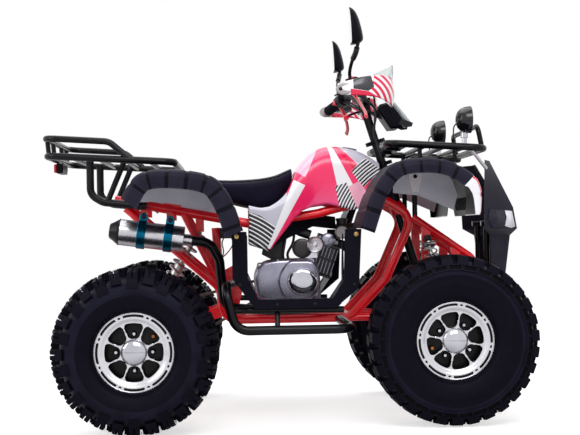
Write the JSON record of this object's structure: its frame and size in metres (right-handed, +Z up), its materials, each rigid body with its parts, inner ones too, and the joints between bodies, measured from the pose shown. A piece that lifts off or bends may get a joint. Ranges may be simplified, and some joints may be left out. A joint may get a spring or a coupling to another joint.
{
  "type": "youth sport-utility quad bike",
  "caption": "Quad bike with knobbly tyres, red tube frame, racks front and rear, hand guards and footwells; the handlebar steers the front wheels and all wheels turn.",
  "frame": {"origin": "on the ground under the middle of the overall length and width", "axes": "+X forward, +Y to the rider's left, +Z up"},
  "size_m": [1.494, 1.1, 1.2566],
  "materials": {
    "red_frame": "gloss powder coat",
    "black_steel": "satin powder coat",
    "shock_steel": "plated spring steel",
    "plated_steel": "zinc plated",
    "chain_steel": "oiled steel",
    "polished_steel": "polished stainless",
    "chrome_trim": "chrome plate",
    "engine_casting": "cast and painted",
    "polished_aluminium": "polished casting",
    "blue_anodised": "blue anodised",
    "charcoal_plastic": "grained moulding",
    "black_plastic": "satin moulding",
    "grey_plastic": "grained moulding",
    "body_panel": "gloss moulding with stripes",
    "red_lever": "red anodised",
    "red_lens": "clear red lens",
    "clear_plastic": "clear sheet",
    "lamp_glass": "clear lens",
    "mirror_glass": "silvered",
    "rubber_grip": "moulded rubber",
    "seat_vinyl": "grained vinyl",
    "tyre": "moulded rubber"
  },
  "bodies": {
    "chassis": {"main_frame": "red_frame", "cross_members": "red_frame", "swingarm": "red_frame", "rear_shock": "shock_steel", "front_arms": "black_steel", "front_shocks": "shock_steel", "engine_block": "engine_casting", "engine_cover": "engine_casting", "engine_cylinder": "engine_casting", "starter_motor": "engine_casting", "carburettor": "engine_casting", "air_box": "black_plastic", "muffler": "polished_steel", "muffler_clamps": "blue_anodised", "muffler_tip": "black_steel", "exhaust_pipe": "polished_steel", "drive_chain": "chain_steel", "seat": "seat_vinyl", "body_cover": "body_panel", "rear_fender": "charcoal_plastic", "front_fender": "charcoal_plastic", "rear_inner_guard": "grey_plastic", "front_inner_guards": "grey_plastic", "fuel_cap": "black_plastic", "rear_rack": "black_steel", "rear_rack_rail": "black_steel", "rear_rack_legs": "black_steel", "front_rack": "black_steel", "rack_struts": "chrome_trim", "spot_lamps": "black_plastic", "front_bumper": "charcoal_plastic", "bumper_bracket": "black_steel", "side_bars": "black_steel", "footwell_guards": "charcoal_plastic", "front_fascia": "body_panel", "tail_lamp": "red_lens"},
    "steering": {"steering_column": "black_steel", "handlebar": "black_steel", "grips": "rubber_grip", "switch_pods": "black_plastic", "levers": "red_lever", "hand_guards": "grey_plastic", "wind_deflectors": "clear_plastic", "mirrors": "black_plastic", "headlight": "black_plastic"},
    "knuckle_right": {"knuckle_right": "black_steel"},
    "knuckle_left": {"knuckle_left": "black_steel"},
    "tie_rod_right": {"tie_rod_right": "plated_steel"},
    "tie_rod_left": {"tie_rod_left": "plated_steel"},
    "wheel_front_right": {"rim_front_right": "polished_aluminium", "tyre_front_right": "tyre"},
    "wheel_front_left": {"rim_front_left": "polished_aluminium", "tyre_front_left": "tyre"},
    "rear_wheels": {"rear_axle": "plated_steel", "rims_rear": "polished_aluminium", "tyres_rear": "tyre"}
  },
  "joints": [
    {"name": "steering", "type": "hinge", "parent": "chassis", "child": "steering", "pos_m": [0.267, 0, 0.989], "axis": [-0.2924, 0, 0.9563], "range_deg": [-28, 28]},
    {"name": "steer_right", "type": "hinge", "parent": "chassis", "child": "knuckle_right", "pos_m": [0.4825, -0.322, 0.254], "axis": [-0.0698, 0, 0.9976], "range_deg": [-28.5, 28.5]},
    {"name": "rod_right", "type": "hinge", "parent": "steering", "child": "tie_rod_right", "pos_m": [0.40437, -0.014, 0.33446], "axis": [-0.2924, 0, 0.9563], "range_deg": [-29.5, 29.5]},
    {"name": "spin_front_right", "type": "hinge", "parent": "knuckle_right", "child": "wheel_front_right", "pos_m": [0.4825, -0.378, 0.254], "axis": [0, 1, 0], "continuous": true},
    {"name": "steer_left", "type": "hinge", "parent": "chassis", "child": "knuckle_left", "pos_m": [0.4825, 0.322, 0.254], "axis": [-0.0698, 0, 0.9976], "range_deg": [-28.5, 28.5]},
    {"name": "rod_left", "type": "hinge", "parent": "steering", "child": "tie_rod_left", "pos_m": [0.40437, 0.014, 0.33446], "axis": [-0.2924, 0, 0.9563], "range_deg": [-29.5, 29.5]},
    {"name": "spin_front_left", "type": "hinge", "parent": "knuckle_left", "child": "wheel_front_left", "pos_m": [0.4825, 0.378, 0.254], "axis": [0, 1, 0], "continuous": true},
    {"name": "spin_rear", "type": "hinge", "parent": "chassis", "child": "rear_wheels", "pos_m": [-0.4575, 0, 0.245], "axis": [0, 1, 0], "continuous": true}
  ],
  "couplings": [
    {"joint": "steer_right", "follows": "steering", "ratio": 1},
    {"joint": "rod_right", "follows": "steering", "ratio": -1.0437},
    {"joint": "steer_left", "follows": "steering", "ratio": 1},
    {"joint": "rod_left", "follows": "steering", "ratio": -1.0437}
  ]
}
